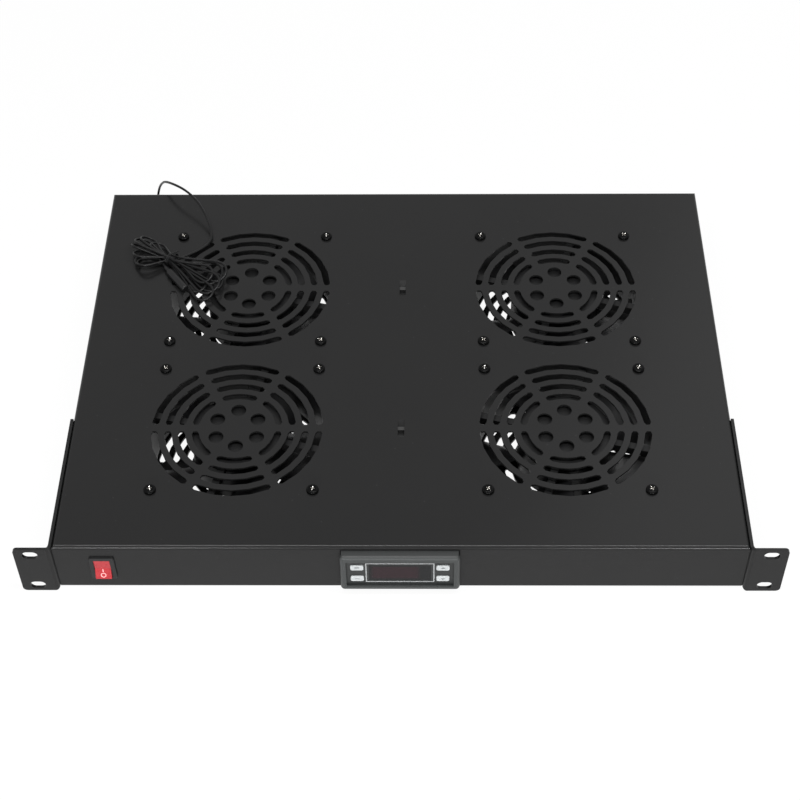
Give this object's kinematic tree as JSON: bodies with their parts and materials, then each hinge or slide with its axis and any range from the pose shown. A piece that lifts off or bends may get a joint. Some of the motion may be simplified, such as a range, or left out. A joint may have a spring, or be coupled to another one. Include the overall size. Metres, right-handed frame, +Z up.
{
  "type": "rack fan tray",
  "caption": "19 inch 1U rack fan tray: flat black steel box with punched fan grilles, a digital thermostat and red rocker switch in front, rack ears and a coiled sensor lead.",
  "frame": {"origin": "centre of the four rack slots, in the plane where the ears meet the rack rails", "axes": "+X to the right seen from the front, along the 19 inch width; +Y to the rear, along which the tray slides into the rack; +Z up"},
  "size_m": [0.486, 0.3536, 0.056],
  "materials": {
    "powder_coat": "black textured powder coat",
    "black_screw": "black zinc",
    "zinc_screw": "zinc plated",
    "fan_frame": "black, cast aluminium",
    "fan_blades": "black moulded",
    "bare_steel": "bare steel",
    "core_steel": "laminated core",
    "copper": "enamelled copper wire",
    "switch_black": "black",
    "rocker_red": "red, lightly frosted",
    "terminal_brass": "tinned brass",
    "bezel_plastic": "dark grey moulded",
    "window": "dark red tint",
    "button_grey": "light grey",
    "display": "unlit display",
    "board": "green circuit board",
    "relay": "sealed relay",
    "terminal_strip": "green terminal strip",
    "inlet_plastic": "black",
    "block_plastic": "natural nylon",
    "loom_sleeve": "sleeved wires",
    "tie_nylon": "black nylon",
    "rubber": "black",
    "lead_sheath": "black sheath",
    "probe": "black moulded tip"
  },
  "bodies": {
    "tray": {"bottom_plate": "powder_coat", "cable_ties": "tie_nylon", "fan_1_bearings": "bare_steel", "fan_1_frame": "fan_frame", "fan_1_stator": "core_steel", "fan_1_windings": "copper", "fan_2_bearings": "bare_steel", "fan_2_frame": "fan_frame", "fan_2_stator": "core_steel", "fan_2_windings": "copper", "fan_3_bearings": "bare_steel", "fan_3_frame": "fan_frame", "fan_3_stator": "core_steel", "fan_3_windings": "copper", "fan_4_bearings": "bare_steel", "fan_4_frame": "fan_frame", "fan_4_stator": "core_steel", "fan_4_windings": "copper", "fan_screws": "black_screw", "grommet": "rubber", "inlet_body": "inlet_plastic", "inlet_pins": "terminal_brass", "inlet_screws": "zinc_screw", "left_bracket": "powder_coat", "right_bracket": "powder_coat", "sensor_hank": "lead_sheath", "sensor_lead": "lead_sheath", "sensor_probe": "probe", "sensor_tie": "lead_sheath", "side_screws": "black_screw", "switch_body": "switch_black", "switch_terminals": "terminal_brass", "terminal_block": "block_plastic", "thermostat_bezel": "bezel_plastic", "thermostat_board": "board", "thermostat_body": "bezel_plastic", "thermostat_clips": "bezel_plastic", "thermostat_display": "display", "thermostat_relay": "relay", "thermostat_terminals": "terminal_strip", "thermostat_window": "window", "top_shell": "powder_coat", "wiring_loom": "loom_sleeve"},
    "fan_1_wheel": {"fan_1_impeller": "fan_blades", "fan_1_rotor": "bare_steel", "fan_1_shaft": "bare_steel"},
    "fan_2_wheel": {"fan_2_impeller": "fan_blades", "fan_2_rotor": "bare_steel", "fan_2_shaft": "bare_steel"},
    "fan_3_wheel": {"fan_3_impeller": "fan_blades", "fan_3_rotor": "bare_steel", "fan_3_shaft": "bare_steel"},
    "fan_4_wheel": {"fan_4_impeller": "fan_blades", "fan_4_rotor": "bare_steel", "fan_4_shaft": "bare_steel"},
    "rocker": {"switch_rocker": "rocker_red"},
    "button_1": {"thermostat_button_1": "button_grey"},
    "button_2": {"thermostat_button_2": "button_grey"},
    "button_3": {"thermostat_button_3": "button_grey"},
    "button_4": {"thermostat_button_4": "button_grey"}
  },
  "joints": [
    {"name": "fan_1_spin", "type": "hinge", "parent": "tray", "child": "fan_1_wheel", "pos_m": [-0.109, 0.099, 0], "axis": [0, 0, 1], "continuous": true},
    {"name": "fan_2_spin", "type": "hinge", "parent": "tray", "child": "fan_2_wheel", "pos_m": [0.109, 0.099, 0], "axis": [0, 0, 1], "continuous": true},
    {"name": "fan_3_spin", "type": "hinge", "parent": "tray", "child": "fan_3_wheel", "pos_m": [-0.109, 0.23, 0], "axis": [0, 0, 1], "continuous": true},
    {"name": "fan_4_spin", "type": "hinge", "parent": "tray", "child": "fan_4_wheel", "pos_m": [0.109, 0.23, 0], "axis": [0, 0, 1], "continuous": true},
    {"name": "rocker_tilt", "type": "hinge", "parent": "tray", "child": "rocker", "pos_m": [-0.189, 0.0036, -0.0007], "axis": [1, 0, 0], "range_deg": [0, 18]},
    {"name": "button_1_press", "type": "slide", "parent": "tray", "child": "button_1", "axis": [0, 1, 0], "range_m": [0, 0.0005], "stiffness_N_per_m": 400, "springref_m": -0.001},
    {"name": "button_2_press", "type": "slide", "parent": "tray", "child": "button_2", "axis": [0, 1, 0], "range_m": [0, 0.0005], "stiffness_N_per_m": 400, "springref_m": -0.001},
    {"name": "button_3_press", "type": "slide", "parent": "tray", "child": "button_3", "axis": [0, 1, 0], "range_m": [0, 0.0005], "stiffness_N_per_m": 400, "springref_m": -0.001},
    {"name": "button_4_press", "type": "slide", "parent": "tray", "child": "button_4", "axis": [0, 1, 0], "range_m": [0, 0.0005], "stiffness_N_per_m": 400, "springref_m": -0.001}
  ]
}
